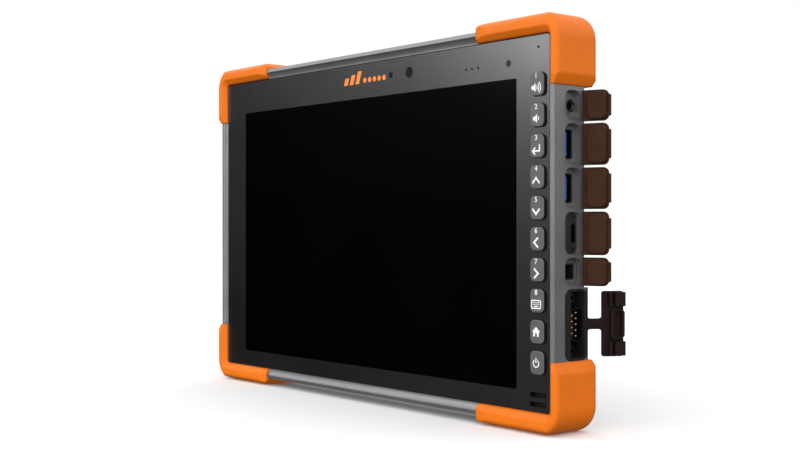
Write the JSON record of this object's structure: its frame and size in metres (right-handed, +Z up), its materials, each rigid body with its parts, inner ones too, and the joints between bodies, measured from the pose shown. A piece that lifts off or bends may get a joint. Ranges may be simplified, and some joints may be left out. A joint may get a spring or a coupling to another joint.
{
  "type": "rugged tablet computer",
  "caption": "Rugged field tablet used as a data collector: wide screen, key column, orange corner bumpers, side ports with open rubber flaps and a serial cap.",
  "frame": {"origin": "middle of the footprint, flaps and serial cap open, on the surface that the lower bumpers stand on", "axes": "+X to the right of someone facing the screen, +Y from the screen to the back, +Z up"},
  "size_m": [0.3062, 0.0414, 0.1992],
  "materials": {
    "bezel": "dark grey, satin gloss, fine pearl",
    "touch_glass": "black when off, glossy",
    "black_foam": "matte foam",
    "display": "black polariser",
    "sensor_window": "smoked clear windows",
    "camera_module": "black housing",
    "antenna_cover": "grey, painted to match the frame",
    "frame_paint": "grey fine-grained paint",
    "antenna_copper": "bare copper",
    "magnesium": "cast, matte",
    "screw_steel": "black zinc",
    "black_silicone": "matte",
    "dome_steel": "bright",
    "circuit_board": "green solder mask",
    "speaker_mesh": "black woven mesh",
    "black_plastic": "moulded",
    "shell_dark": "dark plated",
    "usb_blue": "blue moulded",
    "port_plate": "grey",
    "gold": "gold plated",
    "surround_rubber": "matte charcoal",
    "flap_rubber": "matte brown black",
    "cap_rubber": "matte black brown",
    "spreader_aluminium": "machined",
    "cover_plastic": "textured",
    "brass": "bare",
    "rear_window": "smoked clear",
    "battery_case": "textured",
    "latch_plastic": "orange, ribbed",
    "bumper_rubber": "orange, fine texture",
    "key_rubber": "grey, fine grain"
  },
  "bodies": {
    "tablet": {"front_panel": "bezel", "touch_glass": "touch_glass", "display_gasket": "black_foam", "display_panel": "display", "sensor_windows": "sensor_window", "front_camera": "camera_module", "antenna_cover": "antenna_cover", "mid_frame": "frame_paint", "antennas": "antenna_copper", "chassis_plate": "magnesium", "bumper_screws": "screw_steel", "cover_screws": "screw_steel", "key_seal": "black_silicone", "key_domes": "dome_steel", "key_board": "circuit_board", "speaker_mesh": "speaker_mesh", "speaker": "black_plastic", "audio_jack": "black_plastic", "usb_a_upper": "shell_dark", "usb_a_lower": "shell_dark", "usb_a_tongues": "usb_blue", "usb_c_plate": "port_plate", "usb_c_port": "shell_dark", "power_socket": "black_plastic", "power_pins": "shell_dark", "serial_jackscrews": "shell_dark", "serial_shell": "shell_dark", "serial_insulator": "black_plastic", "serial_pins": "gold", "serial_surround": "surround_rubber", "main_board": "circuit_board", "heat_spreader": "spreader_aluminium", "rear_cover": "cover_plastic", "mount_inserts": "brass", "dock_contacts": "gold", "rear_camera": "camera_module", "rear_windows": "rear_window", "battery_pack": "battery_case", "bumper_top_left": "bumper_rubber", "bumper_top_right": "bumper_rubber", "bumper_bottom_left": "bumper_rubber", "bumper_bottom_right": "bumper_rubber"},
    "key_volume_up": {"key_volume_up": "key_rubber"},
    "key_volume_down": {"key_volume_down": "key_rubber"},
    "key_enter": {"key_enter": "key_rubber"},
    "key_arrow_up": {"key_arrow_up": "key_rubber"},
    "key_arrow_down": {"key_arrow_down": "key_rubber"},
    "key_arrow_left": {"key_arrow_left": "key_rubber"},
    "key_arrow_right": {"key_arrow_right": "key_rubber"},
    "key_keyboard": {"key_keyboard": "key_rubber"},
    "key_home": {"key_home": "key_rubber"},
    "key_power": {"key_power": "key_rubber"},
    "flap_audio": {"flap_audio": "flap_rubber"},
    "flap_usb_upper": {"flap_usb_upper": "flap_rubber"},
    "flap_usb_lower": {"flap_usb_lower": "flap_rubber"},
    "flap_usb_c": {"flap_usb_c": "flap_rubber"},
    "flap_power": {"flap_power": "flap_rubber"},
    "serial_cap": {"serial_cap": "cap_rubber"},
    "battery_latch_left": {"battery_latch_left": "latch_plastic"},
    "battery_latch_right": {"battery_latch_right": "latch_plastic"}
  },
  "joints": [
    {"name": "press_volume_up", "type": "slide", "parent": "tablet", "child": "key_volume_up", "axis": [0, 1, 0], "range_m": [0, 0.0006], "stiffness_N_per_m": 2500},
    {"name": "press_volume_down", "type": "slide", "parent": "tablet", "child": "key_volume_down", "axis": [0, 1, 0], "range_m": [0, 0.0006], "stiffness_N_per_m": 2500},
    {"name": "press_enter", "type": "slide", "parent": "tablet", "child": "key_enter", "axis": [0, 1, 0], "range_m": [0, 0.0006], "stiffness_N_per_m": 2500},
    {"name": "press_arrow_up", "type": "slide", "parent": "tablet", "child": "key_arrow_up", "axis": [0, 1, 0], "range_m": [0, 0.0006], "stiffness_N_per_m": 2500},
    {"name": "press_arrow_down", "type": "slide", "parent": "tablet", "child": "key_arrow_down", "axis": [0, 1, 0], "range_m": [0, 0.0006], "stiffness_N_per_m": 2500},
    {"name": "press_arrow_left", "type": "slide", "parent": "tablet", "child": "key_arrow_left", "axis": [0, 1, 0], "range_m": [0, 0.0006], "stiffness_N_per_m": 2500},
    {"name": "press_arrow_right", "type": "slide", "parent": "tablet", "child": "key_arrow_right", "axis": [0, 1, 0], "range_m": [0, 0.0006], "stiffness_N_per_m": 2500},
    {"name": "press_keyboard", "type": "slide", "parent": "tablet", "child": "key_keyboard", "axis": [0, 1, 0], "range_m": [0, 0.0006], "stiffness_N_per_m": 2500},
    {"name": "press_home", "type": "slide", "parent": "tablet", "child": "key_home", "axis": [0, 1, 0], "range_m": [0, 0.0006], "stiffness_N_per_m": 2500},
    {"name": "press_power", "type": "slide", "parent": "tablet", "child": "key_power", "axis": [0, 1, 0], "range_m": [0, 0.0006], "stiffness_N_per_m": 2500},
    {"name": "open_audio_flap", "type": "hinge", "parent": "tablet", "child": "flap_audio", "pos_m": [0.14077, 0.00111, 0.1552], "axis": [0, 0, 1], "range_deg": [-112, 15]},
    {"name": "open_usb_upper_flap", "type": "hinge", "parent": "tablet", "child": "flap_usb_upper", "pos_m": [0.14077, 0.00111, 0.137], "axis": [0, 0, 1], "range_deg": [-112, 15]},
    {"name": "open_usb_lower_flap", "type": "hinge", "parent": "tablet", "child": "flap_usb_lower", "pos_m": [0.14077, 0.00111, 0.1162], "axis": [0, 0, 1], "range_deg": [-112, 15]},
    {"name": "open_usb_c_flap", "type": "hinge", "parent": "tablet", "child": "flap_usb_c", "pos_m": [0.14077, 0.00111, 0.0949], "axis": [0, 0, 1], "range_deg": [-112, 15]},
    {"name": "open_power_flap", "type": "hinge", "parent": "tablet", "child": "flap_power", "pos_m": [0.14077, 0.00111, 0.0768], "axis": [0, 0, 1], "range_deg": [-112, 15]},
    {"name": "open_serial_cap", "type": "hinge", "parent": "tablet", "child": "serial_cap", "pos_m": [0.14112, 0.00761, 0.0518], "axis": [0, 0, 1], "range_deg": [-150, 0]},
    {"name": "slide_left_latch", "type": "slide", "parent": "tablet", "child": "battery_latch_left", "axis": [-1, 0, 0], "range_m": [0, 0.006]},
    {"name": "slide_right_latch", "type": "slide", "parent": "tablet", "child": "battery_latch_right", "axis": [1, 0, 0], "range_m": [0, 0.006]}
  ]
}
